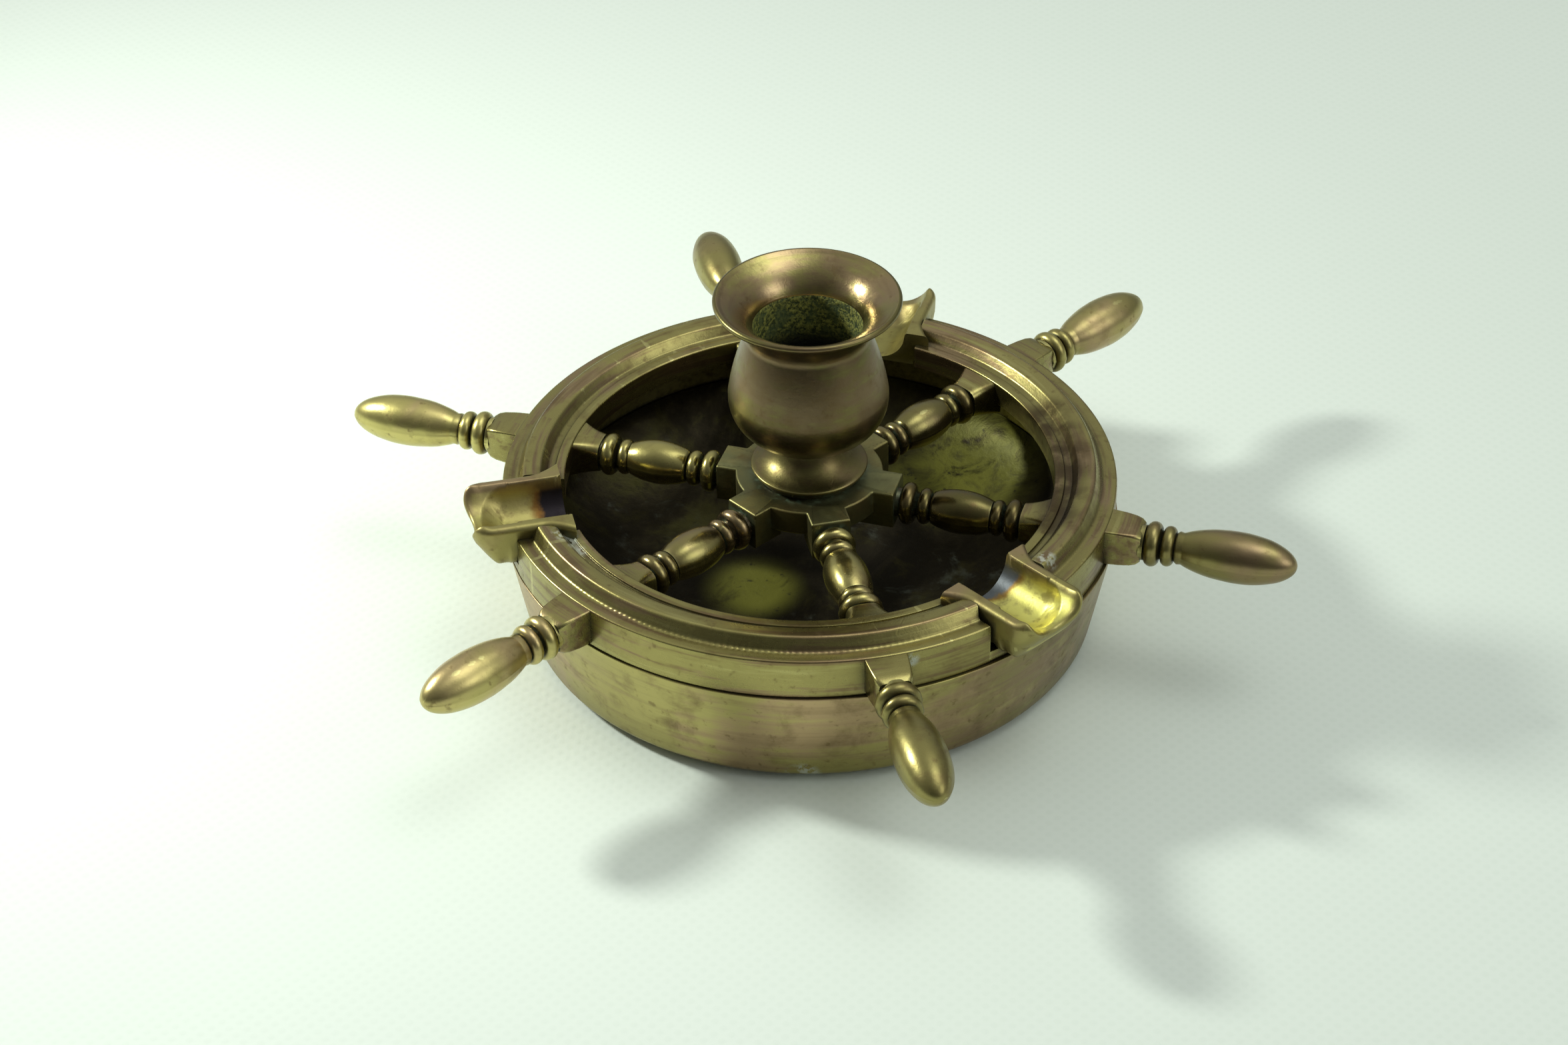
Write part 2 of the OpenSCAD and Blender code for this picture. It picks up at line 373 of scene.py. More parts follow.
def notch_floor(bm, middle, halves):
    """The rim's skirt goes on under a rest, as far to each side as halves says."""
    corners = [
        (SKIRT_IN_R, rim_low, 0.15),
        (RIM_R, rim_low, 0.25),
        (RIM_R, NOTCH_LOW, 0.2),
        (SKIRT_IN_R, NOTCH_LOW, 0.1),
    ]
    outline = rounded(corners, 4, closed=True)
    columns = 24
    rings = []
    for i in range(columns + 1):
        t = i / columns
        ring = []
        for radius, height in outline:
            low = -math.asin(halves[0] / radius)
            high = math.asin(halves[1] / radius)
            angle = math.radians(middle) + low + (high - low) * t
            ring.append((radius * math.cos(angle), radius * math.sin(angle), height + axis_z))
        rings.append(ring)
    skin(bm, rings, around=True, caps=True)


def rest_angle(index):
    """Where a rest's line lies, in degrees from +X."""
    return (index - 1) * 2 * STEP_A - STEP_A / 2


def make_rim():
    """The rim in three arcs, with the skirt under each rest, a block outside it and a flare inside it on
    each spoke's line."""
    bm = bmesh.new()
    outline = rim_outline()
    for i in RESTS:
        start = rest_angle(i)
        halves = (NOTCH_SIDES[i - 1][1], NOTCH_SIDES[i % 3][0])
        end_gap = GAP_OUTSIDE if i == 3 else 0
        rim_arc(bm, outline, start, start + 2 * STEP_A, halves, ARC_COLUMNS[i - 1], end_gap)
        widened = GAP_OUTSIDE if i == 1 else 0
        notch_floor(bm, start, [side + widened for side in NOTCH_SIDES[i - 1]])
    for i in SPOKES:
        lofted_block(bm, i, [
            (RIM_R - 1.5, 3.9, -3.6, 3.65, 0.4),
            (RIM_R + 0.2, 3.85, -3.6, 3.65, 0.4),
            (RIM_R + 2.5, 3.7, -3.6, 3.6, 0.5),
            (outer_face - 1.8, 3.5, -3.5, 3.5, 0.7),
            (outer_face - 0.7, 3.3, -3.3, 3.3, 0.9),
            (outer_face, 2.95, -2.95, 2.95, 1.2),
        ])
        flare = []
        for k in range(13):
            t = k / 12
            station = inner_face + (RIM_IN_R + 1 - inner_face) * t
            half_w = 3.3 + 1.5 * t ** 2
            top = 3.1 + 0.95 * t ** 1.5
            flare.append((station, half_w, -3.0 - 0.5 * t, top, 2.4 - 1.7 * t))
        lofted_block(bm, i, flare)
    return as_object("rim_casting", bm)


def make_hub():
    """The hub's plate with six short arms, its upper edge rounded, and a bar under each arm."""
    arm = 3.7
    hub_r = 13.8
    edge = 0.4
    top = foot_low
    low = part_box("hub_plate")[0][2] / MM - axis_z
    plate_low = -1.1
    bm = bmesh.new()
    corners = []
    meet = math.degrees(math.asin(arm / hub_r))
    for i in range(6):
        turn = Matrix.Rotation(math.radians(i * STEP_A), 2)
        root = hub_r * math.cos(math.radians(meet))
        for x, y in ((root, -arm), (hub_face, -arm), (hub_face, arm)):
            corners.append(tuple(turn @ Vector((x, y))) + (0.35,))
        between = arc(0, 0, hub_r, i * STEP_A + meet, (i + 1) * STEP_A - meet, 8)
        corners += [point + (0,) for point in between[:-1]]
    outline = rounded(corners, 3, closed=True)
    levels = [(plate_low, edge), (plate_low + edge, 0)]
    levels += [(height, edge - inset) for inset, height in arc(0, top - edge, edge, 0, 90, 4)]
    rings = []
    for height, inset in levels:
        ring = []
        for i, (x, y) in enumerate(outline):
            along = (Vector(outline[(i + 1) % len(outline)]) - Vector(outline[i - 1])).normalized()
            ring.append((x - along.y * inset, y + along.x * inset, height + axis_z))
        rings.append(ring)
    skin(bm, rings, around=True, caps=True)
    for i in SPOKES:
        lofted_block(bm, i, [
            (hub_r - 3, arm - 0.05, low, top - 1, 0.4),
            (hub_face - 0.02, arm - 0.05, low, top - 1, 0.4),
        ])
    return as_object("hub_casting", bm)


def blend(a, b, reach):
    """The lower of two heights, with a smooth change over about reach."""
    share = min(1, max(0, 0.5 + 0.5 * (b - a) / reach))
    return b + (a - b) * share - reach * share * (1 - share)


def hull_height(along, across):
    """Underside of a rest: a round-cornered trough, level with the rim's plate where it crosses the rim."""
    depth = 6
    power = 2.6
    low = rest_low + depth * (1 - max(0, 1 - abs(across / rest_half) ** power) ** (1 / power))
    return max(low, PLATE_LOW) if math.hypot(along, across) < RIM_R + 0.1 else low


def lip_height(along, across):
    """Top of a rest's lips. The outer one dips in the middle and has a small knob at each end."""
    level = rest_top
    if along > REST_FOOT:
        dip = DIP_LOW + DIP_R - math.sqrt(DIP_R ** 2 - min(abs(across), DIP_R) ** 2)
        level = blend(rest_top, dip, 0.9)
    knob = math.hypot(along - (rest_end - 2.1), abs(across) - (rest_half - 2.0))
    return level + 0.35 * math.exp(-((knob / 1.2) ** 2))


def rest_surface(along, across, edge):
    """Top of a rest at a place, edge millimetres in from its outline: round-edged lips and the channel."""
    lip = lip_height(along, across) - LIP_ROUND + math.sqrt(LIP_ROUND ** 2 - max(0, LIP_ROUND - edge) ** 2)
    from_axis = math.hypot(max(0, along - (rest_end - CHANNEL_R - 1.5)), across)
    channel = CHANNEL_H - math.sqrt(max(0, CHANNEL_R ** 2 - from_axis ** 2))
    steep = 5 * max(0, from_axis - CHANNEL_R)
    return blend(lip, channel + steep, 1.1)


def rest_outline():
    """Half of a rest's outline from above, from the rim side to the middle of the outer end. It spreads
    where it is soldered to the rim."""
    corner = 3.8
    spread = 2.6
    spread_to = 5.5
    side_steps = 64
    end_steps = 16
    points = []
    for i in range(side_steps):
        along = rest_start + (rest_end - corner - rest_start) * i / side_steps
        share = max(0, (rest_start + spread_to - along) / spread_to)
        points.append((along, rest_half + spread * share ** 1.6))
    points += arc(rest_end - corner, rest_half - corner, corner, 90, 0, 20)
    across = points[-1][1]
    return points + [(rest_end, across * (1 - i / end_steps)) for i in range(1, end_steps + 1)]


def rest_section(along, across):
    """The closed section of a rest from its spine to a point of its outline: the underside outwards, the
    wall up, then over the lip and down into the channel."""
    steps = 16
    middle = min(along, rest_end - rest_half)
    width = math.hypot(along - middle, across)

    def inwards(share):
        """A share of the way from the outline to the channel's middle line."""
        return along + (middle - along) * share, across * (1 - share)

    ring = []
    for share, _ in arc(1, 0, 1, 90, 180, 20):
        x, y = inwards(share)
        ring.append((x, y, hull_height(x, y)))
    base = ring[-1][2]
    top = lip_height(along, across) - LIP_ROUND
    ring += [(along, across, base + (top - base) * j / steps) for j in range(1, steps)]
    # Millimetres in from the outline: fine steps over the lip and its wall, and wider ones to the middle
    edges = [0.01 * LIP_ROUND * j * j for j in range(9)] + [0.75 + 0.14 * j for j in range(24)]
    inner = edges[-1]
    edges += [inner + (width - inner) * j / steps for j in range(1, steps + 1)]
    for edge in edges:
        x, y = inwards(edge / width)
        ring.append((x, y, rest_surface(x, y, edge)))
    return ring


def place_on_rest(turn, along, across, height, slip):
    """A point of a rest in its place. The outer end leans in towards the foot."""
    reach = rest_end - 0.15 * max(0, 4.8 - height) ** 1.65
    if along > REST_FOOT:
        along = REST_FOOT + (along - REST_FOOT) * (reach - REST_FOOT) / (rest_end - REST_FOOT)
    return turn @ Vector((along, across - slip, height + axis_z))


def make_rest(index):
    """A rest: a wall round a bath-shaped channel, its underside smoothed outside the rim."""
    turn = Matrix.Rotation(math.radians(rest_angle(index)), 4, "Z")
    slip = REST_SLIP if index == 1 else 0
    smoothings = 40
    half = rest_outline()
    outline = half + [(along, -across) for along, across in reversed(half[:-1])]
    bm = bmesh.new()
    rings = [[place_on_rest(turn, *point, slip) for point in rest_section(*at)] for at in outline]
    skin(bm, rings, around=False)
    bm.verts.ensure_lookup_table()
    count = len(rings[0])
    first = bm.verts[:count]
    last = bm.verts[-count:]
    bm.faces.new(first + last[-2:0:-1])
    bmesh.ops.remove_doubles(bm, verts=bm.verts, dist=0.002)
    back = turn.inverted()
    places = [(vert, back @ vert.co) for vert in bm.verts]
    under = [vert for vert, at in places if at.x > RIM_R + 0.6 and at.z < axis_z + 2.4]
    for _ in range(smoothings):
        bmesh.ops.smooth_vert(bm, verts=under, factor=0.5, use_axis_x=True, use_axis_y=True, use_axis_z=True)
    return as_object(f"smoking_rest_{index}", bm, 50)


def make_bowl():
    """The bowl, with a rebate for the seat ring and a dish-shaped inside."""
    low = -axis_z
    floor = low + 8.4
    inner_r = 51.1
    dish_r = 24
    seat_r = 54
    seat_low = -8
    corners = [
        (0, low, 0),
        (50.8, low, 1.2),
        (53.75, low + 2.2, 2.2),
        (bowl_r, bowl_lip, 0.2),
        (seat_r, bowl_lip, 0.2),
        (seat_r, seat_low, 0.2),
        (inner_r, seat_low, 0.3),
    ]
    profile = rounded(corners, 6)
    profile[-1] = (inner_r, seat_low - 0.5)
    dish_h = seat_low - floor
    profile += [(inner_r + dish_r * (x - 1), floor + dish_h * (y + 1)) for x, y in arc(0, 0, 1, 0, -90, 24)]
    profile.append((0, floor))
    lean = direction(-40, 0) * 0.4

    def off_centre(x, y, z):
        """The bowl's mouth is a little off its foot's middle."""
        share = min(1, max(0, z / (axis_z + bowl_lip)))
        return x + lean.x * share, y + lean.y * share, z

    return turned("ash_bowl", refined(profile, 2.5), 360, off_centre)


def make_cup():
    """The urn-shaped cup, with a flared lip and an open throat."""
    throat_r = 10.2
    throat_h = 36.4
    floor = 17.2
    waist_r = 11.4
    profile = [(0, cup_low), (5.3, cup_low), (5.6, cup_low + 0.1)]
    profile += bend((6.0, cup_low + 0.35), (14.2, 14.2), (14.8, 20.6), 24)
    profile += bend((14.8, 22.2), (13.9, 28.3), (waist_r, 34.3), 24)
    profile += bend((waist_r, 35.4), (12.2, 39.9), (lip_r - 0.6, lip_h - 1.25), 20)
    profile += arc(lip_r - 0.6, lip_h - 0.6, 0.6, -60, 110, 12)
    profile += bend((lip_r - 1.3, lip_h - 0.45), (throat_r + 1.4, throat_h + 3.4), (throat_r, throat_h), 24)
    profile += [(throat_r - 0.15, throat_h - 0.3), (throat_r - 0.2, throat_h - 1)]
    profile += [(throat_r - 0.1, floor + 0.5), (throat_r - 0.6, floor), (0, floor)]
    return turned("urn_cup", refined(profile, 0.8), 256)


def make_foot():
    """The cup's bell-shaped foot."""
    profile = [(0, foot_low), (9.4, foot_low), (9.7, foot_low + 0.2)]
    profile += bend((9.75, 5.2), (10.0, 5.5), (flange_r - 0.35, 5.6), 6)
    profile += arc(flange_r - 0.35, 5.95, 0.35, -80, 70, 8)
    profile += bend((flange_r - 0.5, 6.4), (7.0, 7.6), (6.0, cup_low - 0.5), 20)
    profile += [(5.75, cup_low - 0.25), (5.4, cup_low - 0.05), (0, cup_low - 0.05)]
    return turned("cup_stem", refined(profile, 0.8), 192)


# ------------------------------------------------------------------ assembly

def place(piece, body, slot, *nodes):
    """Fixes a piece to its body in place of CAD nodes, which it hides. The slot argument is not used."""
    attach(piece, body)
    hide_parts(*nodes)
    return piece


# ----------------------------------------------------------------- materials

class Graph:
    """Builds a node material step by step. Scales are in features per metre."""

    def __init__(self, name):
        self.material = bpy.data.materials.new(name)
        self.material.use_nodes = True
        self.tree = self.material.node_tree
        self.shader = self.tree.nodes["Principled BSDF"]
        self.place = self.node("ShaderNodeTexCoord").outputs["Object"]

    def node(self, kind, inputs=None, **settings):
        node = self.tree.nodes.new(kind)
        for key, value in settings.items():
            setattr(node, key, value)
        for key, value in (inputs or {}).items():
            self.feed(node.inputs[key], value)
        return node

    def feed(self, socket, value):
        if isinstance(value, bpy.types.NodeSocket):
            self.tree.links.new(value, socket)
        else:
            socket.default_value = value

    def math(self, operation, a, b=0.0, c=0.0, clamp=False):
        inputs = {0: a, 1: b, 2: c}
        return self.node("ShaderNodeMath", inputs, operation=operation, use_clamp=clamp).outputs[0]

    def noise(self, scale, detail=3.0, rough=0.5, distortion=0.0, at=None):
        inputs = {"Scale": scale, "Detail": detail, "Roughness": rough, "Distortion": distortion}
        inputs["Vector"] = at or self.place
        return self.node("ShaderNodeTexNoise", inputs).outputs["Fac"]

    def fade(self, value, low, high, top=1.0):
        """0 below low, top above high, and smooth between. low may be above high."""
        inputs = {"Value": value, "From Min": low, "From Max": high, "To Min": 0.0, "To Max": top}
        return self.node("ShaderNodeMapRange", inputs, interpolation_type="SMOOTHSTEP").outputs["Result"]

    def mix(self, factor, a, b):
        node = self.node("ShaderNodeMix", data_type="RGBA")
        self.feed(node.inputs[0], factor)
        self.feed(node.inputs[6], a if isinstance(a, bpy.types.NodeSocket) else (*a, 1))
        self.feed(node.inputs[7], b if isinstance(b, bpy.types.NodeSocket) else (*b, 1))
        return node.outputs[2]

    def stretched(self, x, y, z):
        return self.node("ShaderNodeMapping", {"Vector": self.place, "Scale": (x, y, z)}).outputs["Vector"]

    def round_z(self, slowness):
        """Coordinates that change fast with radius and height and slowly with the angle round Z."""
        parts = self.node("ShaderNodeSeparateXYZ", {0: self.place}).outputs
        squares = [self.math("POWER", part, 2.0) for part in parts[:2]]
        radius = self.math("POWER", self.math("ADD", squares[0], squares[1]), 0.5)
        angle = self.math("MULTIPLY", self.math("ARCTAN2", parts[1], parts[0]), slowness)
        return self.node("ShaderNodeCombineXYZ", {0: radius, 1: parts[2], 2: angle}).outputs[0]

    def edges(self):
        """1 on worn, sticking-out edges."""
        return self.fade(self.node("ShaderNodeNewGeometry").outputs["Pointiness"], 0.53, 0.6)

    def vector_math(self, operation, a, b, output="Value"):
        return self.node("ShaderNodeVectorMath", {0: a, 1: b}, operation=operation).outputs[output]

    def shelter(self, distance):
        """Under 1 where other surfaces are nearer than a distance."""
        return self.node("ShaderNodeAmbientOcclusion", {"Distance": distance}, samples=6).outputs["AO"]

    def near(self, point, radius, soft):
        """1 within radius of a point, 0 beyond radius and soft together, all in millimetres. The point is
        counted from the wheel's centre."""
        centre = (point[0] * MM, point[1] * MM, (point[2] + axis_z) * MM)
        return self.fade(self.vector_math("DISTANCE", self.place, centre), (radius + soft) * MM, radius * MM)

    def bump(self, height, distance, strength):
        node = self.node("ShaderNodeBump", {"Height": height, "Distance": distance, "Strength": strength})
        self.feed(self.shader.inputs["Normal"], node.outputs["Normal"])

    def finish(self, colour, metal, rough):
        self.feed(self.shader.inputs["Base Color"], colour)
        self.feed(self.shader.inputs["Metallic"], metal)
        self.feed(self.shader.inputs["Roughness"], rough)
        return self.material


def shaded(colour, shade):
    return tuple(shade * part for part in colour)


OLIVE = (0.4, 0.345, 0.125)
ROSE = (0.42, 0.3, 0.165)
BRIGHT = (0.68, 0.62, 0.26)
BROWN = (0.17, 0.115, 0.05)
TARNISH_AND_SHADE = (0.06, 0.045, 0.018)
SOOT = (0.018, 0.015, 0.008)
GOLDEN = (0.85, 0.8, 0.22)
VERDIGRIS = (0.075, 0.13, 0.085)
SOLDER = (0.5, 0.52, 0.44)
DARKER_BROWN = (0.07, 0.045, 0.02)
SCORCHED = (0.17, 0.06, 0.012)
GREY_FILM = (0.15, 0.165, 0.08)


def aged_brass(name, rosy, dull, grime=0.8, green=0.25, wear=0.6, rough=(0.25, 0.42), seed=0.0,
               shade=1.0, lathe=0.0, tarnish_and_shade=0.75, extra=None):
    """Handled brass: olive and rosy patches, brown spots, dirt in corners, worn edges, pits and scratches.
    A shade under 1 makes it darker, lathe is how strongly the tone runs in rings round Z, the tarnish
    argument is how dark sheltered places are, partly tarnished metal and partly painted shade, and extra may
    change the colour and the green growth, here called moss."""
    g = Graph(name)
    here = g.vector_math("ADD", g.place, (seed, seed * 0.7, seed * 0.3), "Vector")
    broad = g.noise(38, 4, 0.6, 0.4, here)
    blotch = g.noise(150, 5, 0.62, 0.3, here)
    spots = g.noise(520, 3, 0.55, 0, here)
    grain = g.noise(2600, 3, 0.6, 0, here)
    rings = g.noise(620, 3, 0.6, 0, g.round_z(0.0035))
    broad = g.math("MULTIPLY_ADD", g.math("SUBTRACT", rings, 0.5), lathe * 1.6, broad)
    blotch = g.math("MULTIPLY_ADD", g.math("SUBTRACT", rings, 0.5), lathe * 0.5, blotch)
    rosy_from = 0.6 - 0.3 * rosy
    colour = g.mix(g.fade(broad, rosy_from, rosy_from + 0.2), shaded(OLIVE, shade), shaded(ROSE, shade))
    colour = g.mix(g.fade(blotch, 0.56 - 0.25 * dull, 0.88 - 0.25 * dull, 0.7), colour, BROWN)
    if lathe:
        colour = g.mix(g.fade(rings, 0.5, 0.66, 0.75 * lathe), colour, BROWN)
        colour = g.mix(g.fade(rings, 0.42, 0.3, 0.4 * lathe), colour, shaded(BRIGHT, shade))
    colour = g.mix(g.fade(spots, 0.6, 0.74, 0.55), colour, BROWN)
    colour = g.mix(g.fade(grain, 0.62, 0.8, 0.35), colour, SOOT)
    # Partly tarnished metal and partly painted shade: darker wherever other surfaces are within 13 mm.
    colour = g.mix(g.fade(g.shelter(0.013), 0.97, 0.45, tarnish_and_shade), colour, TARNISH_AND_SHADE)
    worn = g.math("MULTIPLY", g.edges(), g.fade(spots, 0.75, 0.35, wear))
    colour = g.mix(worn, colour, shaded(BRIGHT, 0.35 + 0.65 * shade))
    corner = g.shelter(0.0026)
    dirt = g.math("MULTIPLY", g.fade(corner, 0.85, 0.35), g.fade(blotch, 0.15, 0.5, grime))
    colour = g.mix(dirt, colour, SOOT)
    moss = g.math("MULTIPLY", g.fade(corner, 0.9, 0.25), g.fade(spots, 0.45, 0.62, green))
    colour = g.mix(moss, colour, VERDIGRIS)
    if extra:
        colour, moss = extra(g, colour, moss)
    metal = g.math("SUBTRACT", 0.97, g.math("MAXIMUM", g.math("MULTIPLY", dirt, 0.5), moss), clamp=True)
    scratches = g.noise(900, 2, 0.5, 0, g.stretched(1, 0.07, 0.6))
    gloss = g.math("MULTIPLY_ADD", blotch, rough[1] - rough[0], rough[0])
    gloss = g.math("MULTIPLY_ADD", g.fade(spots, 0.5, 0.8), 0.12, gloss)
    gloss = g.math("MAXIMUM", gloss, g.math("MULTIPLY", moss, 0.8))
    gloss = g.math("MULTIPLY_ADD", worn, -0.06, gloss)
    height = g.math("MULTIPLY_ADD", spots, 0.6, g.math("MULTIPLY", grain, 0.25))
    height = g.math("MULTIPLY_ADD", g.fade(scratches, 0.68, 0.8), -0.25, height)
    height = g.math("MULTIPLY_ADD", rings, lathe * 0.6, height)
    g.bump(height, 0.00009, 0.55)
    return g.finish(colour, metal, gloss)


def spoke_point(along, across, turn, height=0.0):
    """A point along and across a line from the wheel's centre, in millimetres."""
    spin = Matrix.Rotation(math.radians(turn), 3, "Z")
    return spin @ Vector((along, across, height))


def smoked(turn, slip, golden, burnt_to=0, skew=0, fringe=0, tone=SOOT):
    """An extra for aged_brass, for a rest's channel: golden in patches. Heat has given its inner end a tone,
    up to burnt_to millimetres from the wheel's centre, and then a brown fringe. skew tilts the edge between
    them."""
    def extra(g, colour, moss):
        along = g.vector_math("DOT_PRODUCT", g.place, spoke_point(1 / MM, 0, turn))
        across = g.vector_math("DOT_PRODUCT", g.place, spoke_point(0, 1 / MM, turn))
        across = g.math("ADD", across, slip)
        height = g.node("ShaderNodeSeparateXYZ", {0: g.place}).outputs[2]
        inside = g.fade(height, (axis_z + rest_top - 0.5) * MM, (axis_z + rest_top - 1.2) * MM)
        inside = g.math("MULTIPLY", inside, g.fade(height, (axis_z - 0.6) * MM, axis_z * MM))
        inside = g.math("MULTIPLY", inside, g.fade(g.math("ABSOLUTE", across), 6.0, 5.4))
        inside = g.math("MULTIPLY", inside, g.fade(along, rest_end - 1.2, rest_end - 2.2))
        smear = g.noise(260, 4, 0.6)
        colour = g.mix(g.math("MULTIPLY", inside, g.fade(smear, 0.25, 0.5, golden)), colour, GOLDEN)
        colour = g.mix(g.math("MULTIPLY", inside, g.fade(smear, 0.58, 0.68, 0.5)), colour, BROWN)
        if burnt_to:
            along = g.math("MULTIPLY_ADD", g.noise(330, 3, 0.6), 3.0, along)
            along = g.math("MULTIPLY_ADD", across, -skew, along)
            start = burnt_to + 1.5
            warm = g.math("MULTIPLY", g.fade(along, start + fringe, start + 0.3, 0.85), inside)
            colour = g.mix(warm, colour, SCORCHED)
            burnt = g.math("MULTIPLY", g.fade(along, start + 0.6, start - 0.6, 0.94), inside)
            colour = g.mix(burnt, colour, tone)
        return colour, moss
    return extra


def darken_places(*places):
    """An extra for aged_brass: darker brown at places (point, radius in millimetres, strength)."""
    def extra(g, colour, moss):
        ragged = g.noise(200, 4, 0.6)
        for point, radius, strength in places:
            patch = g.near(point, radius * 0.5, radius * 0.7)
            here = g.math("MULTIPLY", patch, g.fade(ragged, 0.2, 0.55, strength))
            colour = g.mix(here, colour, DARKER_BROWN)
        return colour, moss
    return extra


def solder_marks(*places):
    """An extra for aged_brass: pale solder at places (point, radius in millimetres)."""
    def extra(g, colour, moss):
        lump = g.noise(700, 4, 0.65)
        for point, radius in places:
            patch = g.near(point, radius * 0.45, radius * 0.55)
            here = g.math("MULTIPLY", patch, g.fade(lump, 0.42, 0.56, 0.8))
            colour = g.mix(here, colour, SOLDER)
            moss = g.math("MAXIMUM", moss, g.math("MULTIPLY", here, 0.75))
        return colour, moss
    return extra


def grey_green(g, colour, moss):
    """An extra for aged_brass: a thin grey-green film in most places."""
    film = g.fade(g.noise(90, 5, 0.65, 0.5), 0.34, 0.62, 0.6)
    return g.mix(film, colour, GREY_FILM), moss


def both(first, second):
    """An extra for aged_brass that does one extra and then another."""
    def extra(g, colour, moss):
        return second(g, *first(g, colour, moss))
    return extra


# Patches of lighter film in the bowl, put where the lamp's light falls between the spokes: partly a real
# film and partly a painted pool of light. Point from the wheel's centre and radius in millimetres, and how
# bare it is
LIT_FILM_PATCHES = [((24, 36, -15), 15, 0.32), ((13, 31, -18), 9, 0.32), ((-8.4, -9.7, -18.4), 9.5, 0.2)]


def ash_stained():
    """The bowl's inside: brown-black tarnished metal, with a yellow-green film in places and grey ash
    stains. The film is lighter in patches where the lamp's light falls between the spokes, a painted pool of
    light.
    """
    g = Graph("bowl_inside_brass")
    broad = g.noise(34, 5, 0.65, 0.6)
    blotch = g.noise(120, 6, 0.7, 0.5)
    spots = g.noise(420, 4, 0.6)
    film = g.fade(g.math("MULTIPLY_ADD", blotch, 0.35, broad), 0.68, 0.84, 0.35)
    # Painted pools of light: lighter film where the lamp's light falls between the spokes.
    for point, radius, bare in LIT_FILM_PATCHES:
        patch = g.near(point, radius * 0.5, radius * 0.7)
        ragged = g.math("MULTIPLY", patch, g.fade(blotch, bare, bare + 0.22))
        film = g.math("MAXIMUM", film, ragged)
    colour = g.mix(g.fade(broad, 0.4, 0.6), (0.014, 0.011, 0.006), (0.04, 0.032, 0.018))
    colour = g.mix(film, colour, (0.15, 0.146, 0.022))
    colour = g.mix(g.fade(blotch, 0.52, 0.7, 0.7), colour, (0.04, 0.034, 0.01))
    ash = g.math("MULTIPLY", g.fade(g.noise(66, 5, 0.7, 0.8), 0.58, 0.74), g.fade(spots, 0.35, 0.6, 0.6))
    colour = g.mix(ash, colour, (0.1, 0.11, 0.085))
    colour = g.mix(g.fade(spots, 0.62, 0.72, 0.8), colour, (0.02, 0.018, 0.01))
    metal = g.math("MULTIPLY_ADD", g.math("MAXIMUM", ash, film), -0.65, 0.8, clamp=True)
    g.shader.inputs["Specular IOR Level"].default_value = 0.2
    rough = g.math("MULTIPLY_ADD", blotch, 0.3, 0.36)
    rough = g.math("MAXIMUM", rough, g.math("MULTIPLY", ash, 0.8))
    g.bump(g.math("MULTIPLY_ADD", spots, 0.8, blotch), 0.00025, 0.7)
    return g.finish(colour, metal, rough)


def crusted_bore():
    """Inside the cup's throat: rough, green and yellow crust, then black further down as painted shade."""
    g = Graph("cup_bore_crust")
    grains = g.noise(1500, 4, 0.7)
    patch = g.noise(320, 3, 0.6)
    colour = g.mix(g.fade(grains, 0.4, 0.62), (0.03, 0.045, 0.012), (0.34, 0.34, 0.08))
    colour = g.mix(g.fade(patch, 0.48, 0.62, 0.7), colour, (0.07, 0.1, 0.04))
    # Painted shade: near black further down the bore, where light does not reach.
    colour = g.mix(g.near((0, 0, 20), 11.5, 3), colour, (0.004, 0.005, 0.002))
    g.bump(grains, 0.0003, 1.0)
    return g.finish(colour, g.fade(grains, 0.4, 0.7, 0.2), g.math("MULTIPLY_ADD", grains, 0.3, 0.45))


def paint(piece, *materials):
    """Gives a piece its materials, in the order of its slots."""
    piece.data.materials.clear()
    for material in materials:
        piece.data.materials.append(material)


def pick_materials(piece, choose):
    """Each face takes the material slot that choose gives for its radius and height in millimetres, and for
    how much it faces away from the axis."""
    for face in piece.data.polygons:
        middle = face.center / MM
        radius = math.hypot(middle.x, middle.y)
        outward = (face.normal.x * middle.x + face.normal.y * middle.y) / max(radius, 0.001)
        face.material_index = choose(radius, middle.z - axis_z, outward)


def cup_slot(radius, height, outward):
    """The throat is crusted, and the flare's inside takes a lighter copy of the cup's brass, as painted
    light.
    """
    if radius < 10.8 and 17 < height < 36.2:
        return 1
    return 2 if outward < 0 and height > 36.2 else 0


def bowl_slot(radius, height, outward):
    """The bowl's inside is stained with ash."""
    return int(radius < 52.6 and height > 2.5 - axis_z)


# Rosiness, dullness and shade of each spoke and each handle, from the one along +X. The shade is partly
# painted light and shade: lighter on the left-hand spoke and handles, which face the lamp, and darker on the
# first spoke, where the cup's shadow falls.
SPOKE_LOOKS = [
    (0.6, 0.9, 0.35),
    (0.4, 0.7, 0.6),
    (0.4, 0.5, 0.7),
    (0.2, 0.3, 1.1),
    (0.6, 0.3, 0.75),
    (0.3, 0.2, 1.1),
]
HANDLE_LOOKS = [
    (0.45, 0.5, 0.75),
    (0.5, 0.2, 1.05),
    (0.1, 0.4, 0.9),
    (0.2, 0.1, 1.4),
    (0.5, 0.1, 1.25),
    (0.2, 0.4, 0.75),
]

# Darker brown at two places on the bowl's right-hand side.
bowl_darker_right = darken_places((spoke_point(56, 0, -22, -14), 30, 0.4), (spoke_point(56, 0, 60, -10), 34, 0.3))
bowl_marks = solder_marks((spoke_point(53, 0, 285, -axis_z + 2), 4.0))
